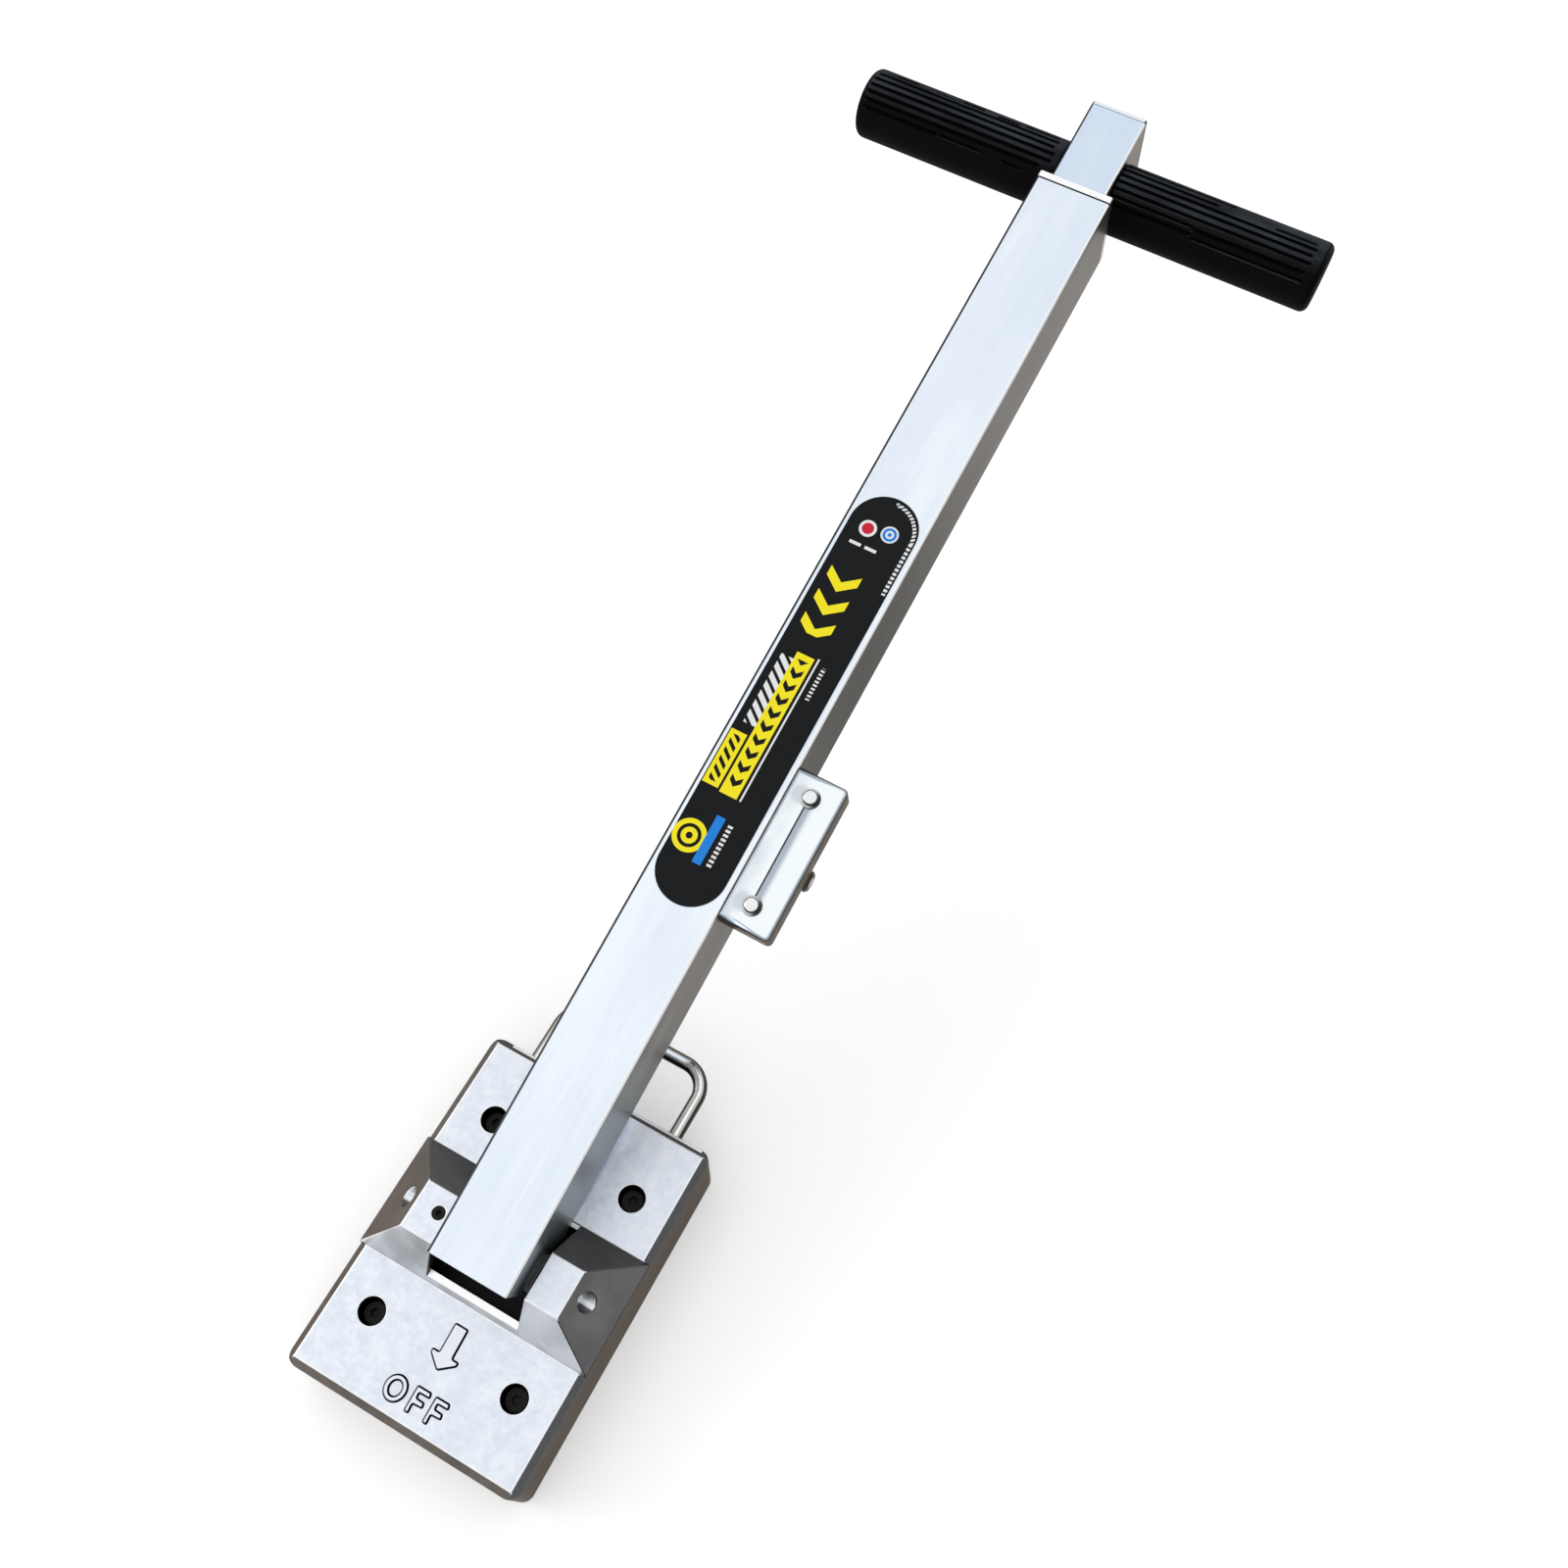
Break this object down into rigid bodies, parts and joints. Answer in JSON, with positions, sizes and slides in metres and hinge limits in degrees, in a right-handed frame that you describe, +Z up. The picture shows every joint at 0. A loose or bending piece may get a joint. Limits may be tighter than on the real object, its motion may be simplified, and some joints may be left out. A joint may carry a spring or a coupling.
{
  "type": "magnetic manhole cover lifter",
  "caption": "Magnetic manhole cover lifter: a flat cast magnet base with a hinged telescopic square-tube handle, a side latch and a ribbed T-grip.",
  "frame": {"origin": "centre of the base's flat bottom face, the face that grips the cover", "axes": "+Z up out of the cover, +Y to the rear, where the resting handle leans, +X to the side that carries the latch"},
  "size_m": [0.254, 0.7018, 0.2165],
  "materials": {
    "cast_steel": "tumbled casting with a satin silver finish",
    "plain_steel": "plain ground steel",
    "magnet": "dull dark magnet blocks",
    "stainless": "plain stainless steel",
    "black_steel": "black oxide steel screws",
    "polished_rod": "polished steel rod",
    "nylon": "natural nylon",
    "brushed_tube": "lengthwise brushed aluminium",
    "plain_aluminium": "machined aluminium",
    "bush_plastic": "black filled nylon bushes and spacers",
    "collar_metal": "machined aluminium collar",
    "label_film": "black printed vinyl film",
    "zinc_plated": "zinc plated steel block",
    "zinc_sheet": "bright zinc plated pressed sheet",
    "bright_screw": "bright plated screws and washers",
    "dark_steel": "dark turned steel",
    "inner_tube_metal": "lengthwise brushed aluminium",
    "cap_metal": "pressed-in aluminium cap with a bright edge",
    "grip_rubber": "black ribbed rubber"
  },
  "bodies": {
    "base": {"base_casting": "cast_steel", "magnet_yoke": "plain_steel", "pole_bars": "plain_steel", "magnets": "magnet", "wear_plate": "stainless", "wear_plate_screws": "stainless", "base_screws": "black_steel", "bail": "polished_rod", "pivot_pin": "polished_rod", "pin_set_screw": "black_steel", "pivot_washers": "bush_plastic"},
    "handle": {"outer_tube": "brushed_tube", "pivot_block": "plain_aluminium", "pivot_bushes": "bush_plastic", "block_screws": "stainless", "mouth_collar": "collar_metal", "travel_stop": "stainless", "label": "label_film", "latch_block": "zinc_plated", "latch_cover": "zinc_sheet", "cover_screws": "bright_screw", "cover_washers": "bright_screw", "plunger_barrel": "dark_steel"},
    "plunger": {"latch_plunger": "stainless", "plunger_spring": "stainless", "plunger_knob": "dark_steel"},
    "inner": {"inner_tube": "inner_tube_metal", "inner_end_cap": "cap_metal", "guide_shoe": "nylon", "cross_bar": "plain_aluminium", "bar_screw": "stainless", "left_grip": "grip_rubber", "right_grip": "grip_rubber"}
  },
  "joints": [
    {"name": "handle_swing", "type": "hinge", "parent": "base", "child": "handle", "pos_m": [0, -0.0011, 0.0624], "axis": [1, 0, 0], "range_deg": [0, 85]},
    {"name": "handle_slide", "type": "slide", "parent": "handle", "child": "inner", "axis": [0, 0.9778, 0.2096], "range_m": [0, 0.165]},
    {"name": "latch_pull", "type": "slide", "parent": "handle", "child": "plunger", "axis": [1, 0, 0], "range_m": [0, 0.005], "stiffness_N_per_m": 800, "springref_m": -0.006, "deforming": ["plunger_spring"]}
  ]
}
